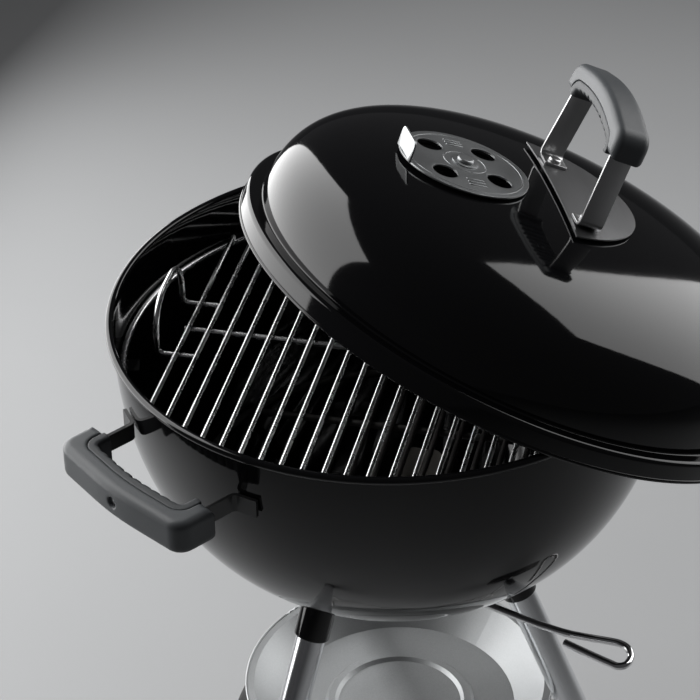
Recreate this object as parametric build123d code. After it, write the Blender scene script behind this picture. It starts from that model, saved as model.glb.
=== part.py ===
from build123d import *
import math
import os

# Kettle charcoal grill on three splayed legs, its lid slid back and leaned over the far rim.
# Millimetres. The origin is on the floor under the middle of the bowl, +Z up.
# -X is the side of the front foot and front handle, +X the side of the two wheels.

# Clearances
seat_gap = 0.3              # between pieces that only rest on each other
weld_gap = 0.05             # between pieces that are welded or clamped together
running_gap = 0.05          # radial, shaft in its hole
slip_gap = 0.2              # radial, rod or tube pushed into a hole
upward = (Align.CENTER, Align.CENTER, Align.MIN)
downward = (Align.CENTER, Align.CENTER, Align.MAX)

# Bowl
bowl_radius = 225.4         # outside of the wall at the rim
bowl_wall = 1.4
bowl_depth = 240.0          # curved part of the wall
bowl_fullness = 0.629       # 0.55 is a quarter ellipse, more is squarer
rim_height = 750.0          # middle of the rolled rim above the floor
rim_roll = 3.0              # radius of the rolled rim
rim_straight = 7.0          # upright wall under the rim
vent_count = 3
vent_width = 26.0
vent_length = 52.0
vent_radius = 72.0          # middle of a vent from the bowl's axis
vent_bearing = 0.0

# Ash sweeper
shaft_radius = 5.0
shaft_drop = 26.0           # below the bowl
hub_radius = 21.0
hub_thickness = 3.0
blade_thickness = 1.6
blade_gap = 0.4             # above the bowl's wall
blade_root = 9.0            # radius where a blade begins
blade_reach = 112.0
blade_root_width = 18.0
blade_width = 34.0
blade_bearing = 30.0        # from the vent to the blade, vents open
lever_radius = 3.15
lever_drop = 20.0           # below the bowl
lever_bearing = -79.5
lever_bend = 144.0          # straight stretch
lever_reach = 238.0
lever_loop_out = 22.0
lever_loop_back = 12.0
lever_return = 168.0        # where the wire's end comes back to
pin_radius = 1.5
pin_length = 27.0
pin_drop = 5.0

# Legs and sockets
leg_count = 3
leg_radius = 12.7
leg_wall = 1.5
leg_root_radius = 89.5      # where a leg's axis meets the bowl
leg_splay = 22.2            # degrees from upright
leg_inset = 2.5             # from the bowl to the top of the tube
socket_wall = 2.2
socket_length = 28.0
socket_round = 1.6
dimple_radius = 2.4
foot_wall = 2.6
foot_grip = 34.0            # how far the foot reaches up the leg
foot_sole = 7.0             # plastic under the end of the tube
plug_flange = 3.0
plug_length = 8.0

# Wheels
wheel_radius = 76.0
wheel_width = 34.0
wheel_rim = 15.0            # depth of the tread ring
wheel_web = 5.0
wheel_hub = 17.0
wheel_ribs = 8
wheel_rib = 4.0
wheel_blend = 1.0           # how far the web and ribs run into the ring and hub
wheel_gap = 2.0             # between the leg and the wheel
axle_radius = 4.75
axle_cap_radius = 11.0
axle_cap_depth = 9.0
leg_tail = 17.0             # tube below the axle

# Lower rack
rack_height = 205.0
rack_wire = 3.0
rack_bar = 2.1
rack_bars = 5
rack_sink = 0.6             # how far a bar is welded into the frame
rack_corner = 30.0
rack_inset = 6.0            # from the legs' inner sides to the frame's corners

# Ash pan
pan_rim_height = 362.0
pan_depth = 29.0
pan_wall = 1.0
pan_clear = 4.8             # from the pan's rim to the legs
pan_flange = 7.0
pan_flare = 26.0            # width of the sloping side
pan_ring = 60.0             # raised ring in the floor
pan_ring_rise = 3.0
clip_radius = 2.5
clip_overlap = 5.0          # under the pan's rim

# Cooking grate
grate_drop = 37.0           # rods below the rim
grate_bearing = -59.5       # direction of the cross rod
grate_clear = 5.0           # from the bowl's wall to the middle of the ring
grate_wire = 3.0
rod_radius = 2.1
rod_margin = 48.0           # from the outermost rod to the ring
rod_count = 21
rod_overhang = 2.0
cross_radius = 2.5
loop_radius = 2.5
loop_height = 45.0
loop_half = 38.0
loop_tail = 34.0
loop_bend = 6.0             # where the tails turn up
loop_corner = 28.0
bracket_width = 16.0
bracket_depth = 18.0
bracket_rise = 16.0
bracket_plate = 2.0
bracket_count = 4
bracket_bearing = 45.0

# Charcoal grate
coal_step = 53.0            # how much smaller than the cooking grate
coal_wire = 3.0
coal_rod = 2.5
coal_margin = 26.0          # from the outermost rod to the ring
coal_count = 15
coal_cross = 3.0
coal_cross_place = 80.0
coal_steps = 720            # how finely the ring's seat on the wall is sought

# Side handles
strap_stand = 50.3          # middle of the strap from the bowl's wall
strap_width = 15.0
strap_thickness = 3.0
strap_half = 62.0           # between the axis and a leg of the strap
strap_bow = 5.5             # middle of the strap out from its corners
strap_crown = 250.0
strap_corner = 14.0
strap_foot = 20.0           # welded along the bowl's wall
strap_foot_bend = 5.0
handle_drop = 44.0          # below the rim
handle_bearing = -5.2
grip_shell = 13.0           # outer shell outside the strap
grip_pad = 10.5             # inner pad inside the strap
grip_height = 29.0
grip_pad_height = 28.0
grip_pad_round = 3.5
grip_round = 6.0
grip_corner = 14.0          # outer corners seen from above
grip_ear = 9.0              # straight ends of the grip
grip_grooves = 9
groove_width = 3.0
groove_depth = 2.0
screw_radius = 2.5
screw_head = 4.4
screw_sink = 6.0
screw_bite = 7.0

# Lid
lid_overlap = 10.8          # skirt outside the bowl's wall
lid_wall = 1.4
lip_roll = 1.7
skirt_height = 17.0
shoulder_width = 12.0
shoulder_round = 4.0
dome_root = 3.0             # hollow corner under the dome
dome_height = 90.0
dome_fullness = 0.72
lid_tilt = 26.1
lid_bearing = -28.3         # low side of the lid
lid_reach = 22.0            # how far the lid hangs out beyond the rear grip
lid_turn = -9.5             # lid about its own axis
hook_width = 18.0
hook_plate = 2.0
hook_place = 150.0
hook_reach = 36.0

# Lid handle, base plate and bolts
bail_width = 20.0
bail_thickness = 2.5
bail_half = 66.0            # feet from the middle
bail_top_half = 58.0        # corners under the grip
bail_rise = 74.0            # corners above the feet
bail_arch = 12.0            # middle above the corners
bail_foot = 20.0
bail_foot_bend = 5.0
bail_corner = 16.0
bail_crown = 195.0
lid_grip_shell = 12.0
lid_grip_pad = 10.0
lid_grip_tail = 14.0
shield_gap = 2.4
shield_plate = 1.2
shield_edge = 13.0          # straight side, towards the damper
shield_bulge = 60.0         # round side
shield_near = 80.0
shield_far = 92.0
bolt_radius = 2.9
bolt_head = 5.5
bolt_head_height = 3.2
bolt_round = 2.2
bolt_nut_height = 4.0
spacer_radius = 8.0

# Damper
damper_place = 91.0         # from the lid's axis
damper_radius = 54.0
damper_plate = 1.5
damper_crown = 1.6          # how far its edge falls below its middle
damper_lift = 0.4
damper_hole = 10.5
damper_hole_circle = 33.0
damper_holes = 4
damper_hole_bearing = 45.0
damper_turn = 4.5           # where the tab stands at rest
tab_width = 34.0
tab_height = 11.7
tab_round = 5.0
rivet_radius = 3.0
rivet_head = 7.0
rivet_head_height = 2.6
rivet_round = 2.1
boss_radius = 11.0
boss_height = 0.8

# Places that follow from the sizes above
bowl_top = rim_height - rim_straight
bowl_bottom = bowl_top - bowl_depth
rim_radius = bowl_radius + rim_roll - bowl_wall / 2
lid_radius = bowl_radius + lid_overlap
dome_radius = lid_radius - shoulder_width
dome_base = skirt_height + dome_root
lid_height = dome_base + dome_height
leg_bearings = {"front": 180.0, "left": 60.0, "right": -60.0}
handle_turns = {"front": Rot(0, 0, handle_bearing + 180), "rear": Rot(0, 0, handle_bearing)}
grate_radius = bowl_radius - bowl_wall - grate_clear
rod_pitch = 2 * (grate_radius - rod_margin) / (rod_count - 1)
coal_radius = grate_radius - coal_step
coal_pitch = 2 * (coal_radius - coal_margin) / (coal_count - 1)
strap_reach = bowl_radius + strap_stand
lid_shift = strap_reach + grip_shell + lid_reach - lid_radius * math.cos(math.radians(lid_tilt))
rod_level = rim_height - grate_drop
handle_level = rim_height - handle_drop


def quarter(radius, depth, fullness, t):
    """Point at t on a quarter curve that runs from (radius, 0) to (0, depth)."""
    s = 1 - t
    across = radius * (s ** 3 + 3 * s * s * t + 3 * s * t * t * fullness)
    along = depth * (3 * s * s * t * fullness + 3 * s * t * t + t ** 3)
    return across, along


def quarter_at(radius, depth, fullness, across):
    """How far along the quarter curve lies where it is this far across."""
    low, high = 0.0, 1.0
    for _ in range(50):
        middle = (low + high) / 2
        if quarter(radius, depth, fullness, middle)[0] > across:
            low = middle
        else:
            high = middle
    return quarter(radius, depth, fullness, low)[1]


def quarter_edge(radius, depth, fullness, base, sign):
    """The same quarter as an edge, from its side at height base to its end on the axis."""
    return Bezier(
        (radius, base),
        (radius, base + sign * depth * fullness),
        (radius * fullness, base + sign * depth),
        (0, base + sign * depth),
    )


def turned(*edges):
    """Solid of revolution about Z from edges drawn as (radius, height)."""
    return revolve(Plane.XZ * make_face(list(edges)), Axis.Z)


def bowl_height_at(radius, offset):
    """Height of the bowl's wall at a radius, set in from the outside by offset."""
    return bowl_top - quarter_at(bowl_radius - offset, bowl_depth - offset, bowl_fullness, radius)


def bowl_side(offset):
    """Wall outline set in by offset: the upright stretch and the curve down to the axis."""
    radius = bowl_radius - offset
    upright = Line((radius, rim_height), (radius, bowl_top))
    return [upright, quarter_edge(radius, bowl_depth - offset, bowl_fullness, bowl_top, -1)]


def bowl_layer(outside, inside):
    """Skin that lies between two offsets from the outside of the bowl."""
    top = Line((bowl_radius - inside, rim_height), (bowl_radius - outside, rim_height))
    low = Line((0, bowl_bottom + outside), (0, bowl_bottom + inside))
    return turned(*bowl_side(outside), low, *bowl_side(inside), top)


def bowl_bulk(offset):
    """All that lies within an offset from the outside of the bowl; below 0 it lies outside."""
    top = Line((0, rim_height), (bowl_radius - offset, rim_height))
    axis = Line((0, bowl_bottom + offset), (0, rim_height))
    return turned(*bowl_side(offset), axis, top)


def around(count, bearing):
    """Turns about Z that share the circle evenly, the first at a bearing."""
    return [Rot(0, 0, bearing + 360 / count * place) for place in range(count)]


def swept(path, section, across):
    """Section carried along a path; across is the direction of the section's own X."""
    start = Plane(origin=path @ 0, x_dir=across, z_dir=path % 0)
    return sweep(start * section, path)


def rod(start, end, radius):
    """Straight round rod between two points."""
    line = Vector(*end) - Vector(*start)
    return Plane(origin=start, z_dir=line) * Cylinder(radius, line.length, align=upward)


def wire_path(points, radii):
    """Bent wire's middle line: straight runs joined by an arc at each corner."""
    return FilletPolyline(*points, radius=radii)


def parallel(points, distance):
    """Corners of a line of runs drawn in a plane, moved outwards by a distance."""
    normals = []
    for (ax, ay), (bx, by) in zip(points, points[1:]):
        run = math.hypot(bx - ax, by - ay)
        normals.append(((by - ay) / run, (ax - bx) / run))
    normals = [normals[0], *normals, normals[-1]]
    moved = []
    for (x, y), (ax, ay), (bx, by) in zip(points, normals, normals[1:]):
        share = distance / (1 + ax * bx + ay * by)
        moved.append((x + share * (ax + bx), y + share * (ay + by)))
    return moved


def region(points, distance, corner, crown):
    """What a line of four runs encloses, moved outwards, rounded and closed across its ends."""
    moved = parallel(points, distance)
    line = wire_path(moved, [corner, crown, corner])
    return make_face([*line.edges(), Line(moved[-1], moved[0])])


# Bowl: pressed enamelled steel with a rolled rim, three vents and the sweeper's hole.

def make_bowl():
    bowl = bowl_layer(0, bowl_wall) + Pos(0, 0, rim_height) * Torus(rim_radius, rim_roll)
    slot = extrude(SlotOverall(vent_length, vent_width), bowl_depth / 2)
    for turn in around(vent_count, vent_bearing):
        bowl -= turn * Pos(vent_radius, 0, bowl_bottom - bowl_depth / 4) * slot
    return bowl - Pos(0, 0, bowl_bottom) * Cylinder(shaft_radius + running_gap, bowl_depth / 4)


# Sweeper: three blades on a hub, a shaft through the bowl and a wire lever under it.

blade_bottom = bowl_wall + blade_gap


def make_blades():
    skin = bowl_layer(blade_bottom, blade_bottom + blade_thickness)
    outline = make_face(Polyline(
        (blade_root, -blade_root_width / 2),
        (vent_radius, -blade_width / 2),
        (blade_reach, -blade_width / 2),
        (blade_reach, blade_width / 2),
        (vent_radius, blade_width / 2),
        (blade_root, blade_root_width / 2),
        close=True,
    ).edges())
    outer = outline.vertices().group_by(Axis.X)[-1]
    cutter = Pos(0, 0, bowl_bottom - bowl_wall) * extrude(fillet(outer, blade_width / 4), bowl_depth / 2)
    return [turn * cutter & skin for turn in around(vent_count, vent_bearing + blade_bearing)]


hub_level = bowl_height_at(hub_radius, blade_bottom + blade_thickness) + weld_gap
shaft_low = bowl_bottom - shaft_drop
lever_level = bowl_bottom - lever_drop
pin_level = bowl_bottom - pin_drop


def make_shaft():
    hub = Pos(0, 0, hub_level) * Cylinder(hub_radius, hub_thickness, align=upward)
    hub = fillet(hub.edges().group_by(Axis.Z)[-1], hub_thickness / 3)
    shaft = hub + rod((0, 0, shaft_low), (0, 0, hub_level + hub_thickness / 2), shaft_radius)
    shaft = chamfer(shaft.faces().sort_by(Axis.Z)[0].edges(), shaft_radius / 5)
    pin_hole = Cylinder(pin_radius + running_gap, pin_length)
    return shaft - Rot(0, 0, lever_bearing) * Pos(0, 0, pin_level) * Rot(90, 0, 0) * pin_hole


def make_pin():
    pin = Cylinder(pin_radius, pin_length)
    pin = chamfer(pin.edges().filter_by(GeomType.CIRCLE), pin_radius / 3)
    return Rot(0, 0, lever_bearing) * Pos(0, 0, pin_level) * Rot(90, 0, 0) * pin


def make_lever():
    loop_width = lever_loop_out + lever_loop_back
    path = wire_path(
        [
            (shaft_radius + weld_gap, 0, lever_level),
            (lever_bend, 0, lever_level),
            (lever_reach - loop_width, lever_loop_out, lever_level),
            (lever_reach, lever_loop_out - loop_width / 2, lever_level),
            (lever_reach - lever_loop_back / 2, -lever_loop_back, lever_level),
            (lever_return, -lever_loop_back + lever_radius, lever_level),
        ],
        [lever_loop_out, lever_loop_out / 2, lever_loop_back / 2, lever_loop_back / 2],
    )
    lever = Rot(0, 0, lever_bearing) * swept(path, Circle(lever_radius), (0, 0, 1))
    return lever - Cylinder(shaft_radius + weld_gap, 2 * rim_height)


# Legs: aluminium tubes pushed into enamelled sockets that are welded to the bowl.

leg_root_height = bowl_height_at(leg_root_radius, 0)
leg_down = (math.sin(math.radians(leg_splay)), 0, -math.cos(math.radians(leg_splay)))
leg_plane = Plane(origin=(leg_root_radius, 0, leg_root_height), x_dir=(0, 1, 0), z_dir=leg_down)
leg_slope = math.tan(math.radians(leg_splay))


def leg_run(height):
    """Distance along a leg from the bowl to where its axis is this high."""
    return (leg_root_height - height) / -leg_down[2]


def leg_out(height):
    """Distance of a leg's axis from the bowl's axis at a height."""
    return leg_root_radius + (leg_root_height - height) * leg_slope


def leg_tube(radius, start, end):
    """Round bar about a leg's axis between two distances from the bowl."""
    bar = Cylinder(radius, end - start, align=upward)
    return leg_plane * Pos(0, 0, start) * bar


axle_run = leg_run(wheel_radius)
axle_place = leg_out(wheel_radius)
axle_x = axle_place * math.cos(math.radians(leg_bearings["left"]))
axle_y = axle_place * math.sin(math.radians(leg_bearings["left"]))
leg_half_width = leg_radius / -leg_down[2]
front_end = leg_run(foot_sole)
wheel_leg_end = axle_run + leg_tail
pan_radius = leg_out(pan_rim_height) - leg_half_width - pan_clear
clip_level = pan_rim_height - pan_wall - seat_gap - clip_radius


def make_socket(bearing):
    bore = leg_radius + slip_gap
    socket = leg_tube(bore + socket_wall, -socket_length / 2, socket_length)
    lower = socket.faces().sort_by(Axis.Z)[0].edges()
    socket = fillet(lower, socket_round) - leg_tube(bore, -socket_length, 2 * socket_length)
    side = leg_plane * Pos(bore + socket_wall, 0, socket_length / 2) * Sphere(dimple_radius)
    return Rot(0, 0, bearing) * (socket - bowl_bulk(-weld_gap) - side)


def leg_holes():
    """What is drilled in a leg: the pan clip's hole and the lower rack's hole."""
    clip_hole = rod((0, 0, clip_level), (leg_out(clip_level), 0, clip_level), clip_radius + slip_gap)
    rack_hole = rod((0, 0, rack_height), (leg_out(rack_height), 0, rack_height), rack_wire + slip_gap)
    return clip_hole + rack_hole


def make_leg(bearing, end):
    tube = leg_tube(leg_radius, leg_inset, end) - leg_tube(leg_radius - leg_wall, 0, end + leg_inset)
    return Rot(0, 0, bearing) * (tube - leg_holes())


def make_wheel_leg(bearing):
    far = 2 * axle_y
    axle_hole = rod((axle_x, -far, wheel_radius), (axle_x, far, wheel_radius), axle_radius + slip_gap)
    return make_leg(bearing, wheel_leg_end) - axle_hole


def make_foot():
    foot = leg_tube(leg_radius + foot_wall, front_end - foot_grip, front_end + 3 * foot_sole)
    foot -= leg_tube(leg_radius + weld_gap, 0, front_end)
    foot -= Pos(leg_out(0), 0, 0) * Box(6 * leg_radius, 6 * leg_radius, 6 * leg_radius, align=downward)
    sole = foot.faces().sort_by(Axis.Z)[0]
    foot = chamfer(sole.edges(), foot_wall / 3)
    return Rot(0, 0, leg_bearings["front"]) * foot


def make_plug(bearing):
    bore = leg_radius - leg_wall
    plug = leg_tube(leg_radius, wheel_leg_end + weld_gap, wheel_leg_end + plug_flange)
    plug = fillet(plug.faces().sort_by(Axis.Z)[0].edges(), plug_flange / 2)
    plug += leg_tube(bore - weld_gap, wheel_leg_end - plug_length, wheel_leg_end + plug_flange / 2)
    return Rot(0, 0, bearing) * plug


# Wheels: moulded plastic, free on a steel axle that passes through both rear legs.

wheel_inner = axle_y + (leg_tail + plug_flange) * -leg_down[2] * leg_slope + leg_half_width + wheel_gap
wheel_outer = wheel_inner + wheel_width


def make_axle():
    end = wheel_outer + axle_cap_depth / 2
    axle = rod((axle_x, -end, wheel_radius), (axle_x, end, wheel_radius), axle_radius)
    return chamfer(axle.edges().filter_by(GeomType.CIRCLE), axle_radius / 6)


def make_wheel(side):
    half = wheel_width / 2
    inner = wheel_radius - wheel_rim
    tread = Cylinder(wheel_radius, wheel_width)
    tread = fillet(tread.edges().filter_by(GeomType.CIRCLE), wheel_rim / 3) - Cylinder(inner, wheel_width)
    wheel = tread + Cylinder(inner + wheel_blend, wheel_web) + Cylinder(wheel_hub, wheel_width)
    rib = Pos((inner + wheel_hub) / 2, 0, 0) * Box(inner - wheel_hub + 2 * wheel_blend, wheel_rib, half)
    for turn in around(wheel_ribs, 0):
        wheel += turn * rib
    wheel -= Cylinder(axle_radius + running_gap, 2 * wheel_width)
    return Pos(axle_x, side * (wheel_inner + half), wheel_radius) * Rot(90, 0, 0) * wheel


def make_axle_cap(side):
    cap = Cylinder(axle_cap_radius, axle_cap_depth, align=upward)
    cap = fillet(cap.edges().group_by(Axis.Z)[-1], axle_cap_depth / 2)
    cap -= Cylinder(axle_radius + weld_gap, axle_cap_depth + 2 * weld_gap)
    return Pos(axle_x, side * (wheel_outer + seat_gap), wheel_radius) * Rot(-90 * side, 0, 0) * cap


# Lower rack: a welded wire triangle whose prongs spring into holes in the legs.

def make_rack():
    corner_out = leg_out(rack_height) - leg_half_width - rack_inset
    corners = [
        (corner_out * math.cos(math.radians(b)), corner_out * math.sin(math.radians(b)), rack_height)
        for b in leg_bearings.values()
    ]
    frame = Wire(FilletPolyline(*corners, radius=rack_corner, close=True).edges())
    rack = swept(frame, Circle(rack_wire), (0, 0, 1))
    inner = corner_out - rack_corner
    for turn in around(leg_count, leg_bearings["front"]):
        rack += turn * rod((inner, 0, rack_height), (leg_out(rack_height), 0, rack_height), rack_wire)
    front, back = -corner_out, corner_out / 2
    level = rack_height + rack_wire + rack_bar - rack_sink
    for place in range(1, rack_bars + 1):
        x = front + (back - front) * place / (rack_bars + 1)
        half = (x - front) * math.tan(math.pi / (2 * leg_count)) + rack_wire
        rack += rod((x, -half, level), (x, half, level), rack_bar)
    return rack


# Ash pan: a spun aluminium dish that rests on three wire clips in the legs.

def make_pan():
    floor_height = pan_rim_height - pan_depth
    side_top = pan_radius - pan_flange
    side_low = side_top - pan_flare

    def outline(lift):
        return Polyline(
            (0, floor_height + lift),
            (pan_ring - 2 * pan_ring_rise, floor_height + lift),
            (pan_ring - pan_ring_rise, floor_height + pan_ring_rise + lift),
            (pan_ring + pan_ring_rise, floor_height + pan_ring_rise + lift),
            (pan_ring + 2 * pan_ring_rise, floor_height + lift),
            (side_low, floor_height + lift),
            (side_top, pan_rim_height - pan_wall + lift),
            (pan_radius, pan_rim_height - pan_wall + lift),
        ).edges()

    edge = Line((pan_radius, pan_rim_height - pan_wall), (pan_radius, pan_rim_height))
    axis = Line((0, floor_height), (0, floor_height + pan_wall))
    pan = turned(*outline(0), edge, *outline(pan_wall), axis)
    bead = Pos(0, 0, pan_rim_height) * Torus(pan_radius, pan_wall)
    return pan + bead


def make_clip(bearing):
    inner = pan_radius - clip_overlap
    clip = rod((inner, 0, clip_level), (leg_out(clip_level), 0, clip_level), clip_radius)
    return Rot(0, 0, bearing) * fillet(clip.edges().filter_by(GeomType.CIRCLE), clip_radius / 2)


# Cooking grate: plated rods across a ring, with a lifting loop at each side.

ring_level = rod_level - rod_radius - grate_wire - weld_gap
cross_level = rod_level - rod_radius - cross_radius - weld_gap
grate_turn = Rot(0, 0, grate_bearing)


def make_ring(radius, wire, level):
    return Pos(0, 0, level) * Torus(radius, wire)


def make_rods(radius, wire, pitch, count, level, overhang):
    """Parallel rods across a ring, along local Y."""
    rods = []
    for place in range(count):
        x = (place - (count - 1) / 2) * pitch
        half = math.sqrt(radius ** 2 - x ** 2) + overhang
        bar = rod((x, -half, level), (x, half, level), wire)
        rods.append(chamfer(bar.edges().filter_by(GeomType.CIRCLE), wire / 4))
    return rods


def make_cross_rod():
    half = (rod_count - 1) / 2 * rod_pitch + rod_radius + cross_radius
    return grate_turn * rod((-half, 0, cross_level), (half, 0, cross_level), cross_radius)


def make_loop(side):
    last = (rod_count - 1) / 2 * rod_pitch
    level = rod_level - rod_radius - loop_radius - weld_gap
    out = last + rod_pitch
    inner = out - loop_tail
    top = level + loop_height
    path = wire_path(
        [
            (inner, -loop_half, level),
            (out, -loop_half, level),
            (out, -loop_half, top),
            (out, loop_half, top),
            (out, loop_half, level),
            (inner, loop_half, level),
        ],
        [loop_bend, loop_corner, loop_corner, loop_bend],
    )
    loop = swept(path, Circle(loop_radius), (0, 1, 0))
    return grate_turn * Rot(0, 0, 0 if side > 0 else 180) * loop


def make_bracket(bearing):
    """Pressed steel channel welded inside the bowl, with the grate's ring on its shelf."""
    top = ring_level - grate_wire - seat_gap
    inner = bowl_radius - bowl_wall - bracket_depth
    shape = make_face(Polyline(
        (inner, top),
        (bowl_radius, top),
        (bowl_radius, top - bracket_rise),
        (bowl_radius - bracket_depth / 3, top - bracket_rise),
        (inner, top - 2 * bracket_plate),
        close=True,
    ).edges())
    bracket = extrude(Plane.XZ * shape, bracket_width / 2, both=True) & bowl_bulk(bowl_wall + weld_gap)
    inside = Box(4 * bracket_depth, bracket_width - 2 * bracket_plate, 2 * bracket_rise, align=downward)
    return Rot(0, 0, bearing) * (bracket - Pos(bowl_radius, 0, top - bracket_plate) * inside)


# Charcoal grate: heavier rods on a ring that settles on the bowl's curved wall.

def coal_ring_level():
    """Height at which the ring touches the wall, but for the seat's gap."""
    reach = coal_wire + seat_gap
    best = bowl_bottom
    for step in range(coal_steps + 1):
        angle = math.pi * step / coal_steps
        x = coal_radius + reach * math.sin(angle)
        if x < bowl_radius - bowl_wall:
            best = max(best, bowl_height_at(x, bowl_wall) + reach * math.cos(angle))
    return best


coal_level = coal_ring_level()
coal_rod_level = coal_level + coal_wire + coal_rod + weld_gap


def make_coal_cross():
    inside = math.sqrt((coal_radius - coal_wire - coal_cross) ** 2 - coal_cross_place ** 2)
    half = min(inside, (coal_count - 1) / 2 * coal_pitch + coal_rod)
    level = coal_rod_level - coal_rod - coal_cross - weld_gap
    return [
        grate_turn * rod((-half, y, level), (half, y, level), coal_cross)
        for y in (-coal_cross_place, coal_cross_place)
    ]


# Side handles: a bent steel strap welded to the bowl, gripped by a two-part plastic handle.

strap_line = strap_reach - strap_bow


def arch_points(ear):
    """Corners of the strap seen from above, with straight legs of a length."""
    start = strap_line - strap_corner - ear
    return [(start, -strap_half), (strap_line, -strap_half), (strap_reach, 0),
            (strap_line, strap_half), (start, strap_half)]


def arch_path(ear):
    """Middle line of the strap under the grip: two legs, two corners and a gently bowed front."""
    points = [(x, y, handle_level) for x, y in arch_points(ear)]
    return wire_path(points, [strap_corner, strap_crown, strap_corner])


def strap_path():
    """Middle line of the whole strap, with a foot along the bowl's wall at each end."""
    wall = bowl_radius + strap_thickness / 2
    turn = math.asin(strap_half / wall)
    end = turn + strap_foot / wall
    side = [
        (wall * math.cos(end), wall * math.sin(end), handle_level),
        (wall * math.cos(turn), strap_half, handle_level),
        (strap_line, strap_half, handle_level),
    ]
    other = [(x, -y, z) for x, y, z in side]
    points = [*other, (strap_reach, 0, handle_level), *reversed(side)]
    radii = [strap_foot_bend, strap_corner, strap_crown, strap_corner, strap_foot_bend]
    return wire_path(points, radii)


def pad_section(depth, front):
    """Section of a grip's inner pad, from its back to the strap, with rounded back corners."""
    shape = Pos(0, (front - depth) / 2) * Rectangle(grip_pad_height, front + depth)
    return fillet(shape.vertices().group_by(Axis.Y)[0], grip_pad_round)


def make_strap():
    section = Rectangle(strap_width, strap_thickness)
    strap = swept(strap_path(), section, (0, 0, 1))
    near, far = (strap_reach / 2, 0, handle_level), (2 * strap_reach, 0, handle_level)
    hole = rod(near, far, screw_radius + slip_gap)
    return strap - bowl_bulk(-weld_gap) - hole


def make_grip_outer():
    back = -strap_thickness / 2
    outside = region(arch_points(grip_ear), grip_shell, grip_corner, strap_crown + grip_shell)
    shell = extrude(Pos(0, 0, handle_level) * outside, grip_height / 2, both=True)
    edges = shell.edges().group_by(Axis.Z)
    shell = fillet(edges[0] + edges[-1], grip_round)
    inside = region(arch_points(2 * grip_ear), back, strap_corner + back, strap_crown + back)
    shell -= extrude(Pos(0, 0, handle_level) * inside, grip_height, both=True)
    room = Rectangle(strap_width + 2 * weld_gap, strap_thickness + 2 * weld_gap)
    slot = swept(arch_path(2 * grip_ear), room, (0, 0, 1))
    front = strap_reach + grip_shell
    ahead = (front + screw_sink, 0, handle_level)
    hole = rod((strap_reach, 0, handle_level), ahead, screw_radius + slip_gap)
    sink = rod((front - screw_sink, 0, handle_level), ahead, screw_head + slip_gap)
    return shell - slot - hole - sink


def make_grip_inner():
    front = -strap_thickness / 2 - 2 * weld_gap
    pad = swept(arch_path(grip_ear), pad_section(grip_pad, front), (0, 0, 1))
    back = strap_reach - grip_pad
    run = 2 * (strap_half - strap_corner)
    for place in range(grip_grooves):
        y = run * ((place + 0.5) / grip_grooves - 0.5)
        groove = Box(2 * groove_depth, groove_width, grip_height)
        pad -= Pos(back - strap_bow * abs(y) / strap_half, y, handle_level) * groove
    bottom = (strap_reach - screw_bite, 0, handle_level)
    return pad - rod(bottom, (strap_reach, 0, handle_level), screw_radius + weld_gap)


def make_grip_screw():
    front = strap_reach + grip_shell
    tip = (strap_reach - screw_bite + weld_gap, 0, handle_level)
    under_head = (front - screw_sink + weld_gap, 0, handle_level)
    head_top = (front - screw_sink + screw_head / 2, 0, handle_level)
    shank = rod(tip, head_top, screw_radius)
    head = rod(under_head, head_top, screw_head)
    slot = Pos(*head_top) * Box(screw_head / 3, screw_head / 4, 2 * screw_head)
    return shank + head - slot


# Lid: enamelled steel dome with a stepped skirt. Its pieces are drawn in the lid's own
# frame, Z up its axis from the lip and the damper on the -X side, then laid in place.

def lid_outline(offset):
    """Wall outline set in by offset: skirt, shoulder and dome."""
    corner = (lid_radius - shoulder_round, skirt_height - shoulder_round)
    root = (dome_radius + dome_root, skirt_height + dome_root)
    return [
        Line((lid_radius - offset, 0), (lid_radius - offset, corner[1])),
        CenterArc(corner, shoulder_round - offset, 0, 90),
        Line((corner[0], skirt_height - offset), (root[0], skirt_height - offset)),
        CenterArc(root, dome_root + offset, 270, -90),
        quarter_edge(dome_radius - offset, dome_height - offset, dome_fullness, dome_base, 1),
    ]


def lid_layer(outside, inside):
    """Skin between two offsets from the outside of the lid; offsets below 0 lie above it."""
    lip = Line((lid_radius - inside, 0), (lid_radius - outside, 0))
    axis = Line((0, lid_height - outside), (0, lid_height - inside))
    return turned(*lid_outline(outside), axis, *lid_outline(inside), lip)


def dome_layer(below, above):
    """Skin over the dome alone, between two heights above its outside."""
    low = quarter_edge(dome_radius + below, dome_height + below, dome_fullness, dome_base, 1)
    high = quarter_edge(dome_radius + above, dome_height + above, dome_fullness, dome_base, 1)
    foot = Line((dome_radius + below, dome_base), (dome_radius + above, dome_base))
    axis = Line((0, lid_height + below), (0, lid_height + above))
    return turned(low, axis, high, foot)


def dome_height_at(radius, rise):
    """Height of the dome's outside, lifted by rise, at a radius."""
    return dome_base + quarter_at(dome_radius + rise, dome_height + rise, dome_fullness, radius)


damper_level = dome_height_at(damper_place, 0)
damper_slope = math.degrees(math.atan2(
    dome_height_at(damper_place - 1, 0) - dome_height_at(damper_place + 1, 0), 2))
damper_frame = Pos(-damper_place, 0, damper_level) * Rot(0, -damper_slope, 0) * Rot(0, 0, damper_turn)
hole_turns = around(damper_holes, damper_hole_bearing)


def make_lid():
    lid = lid_layer(0, lid_wall) + Torus(lid_radius - lid_wall / 2, lip_roll)
    hole = Pos(damper_hole_circle, 0, 0) * Cylinder(damper_hole, dome_height / 2)
    for turn in hole_turns:
        lid -= damper_frame * turn * hole
    lid -= damper_frame * Cylinder(rivet_radius + weld_gap, dome_height / 2)
    for y in bolt_places:
        lid -= Pos(0, y, lid_height) * Cylinder(bolt_radius + slip_gap, dome_height / 2)
    return lid


# Damper: a dished disc with four holes and a finger tab, turning on a rivet.

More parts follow.
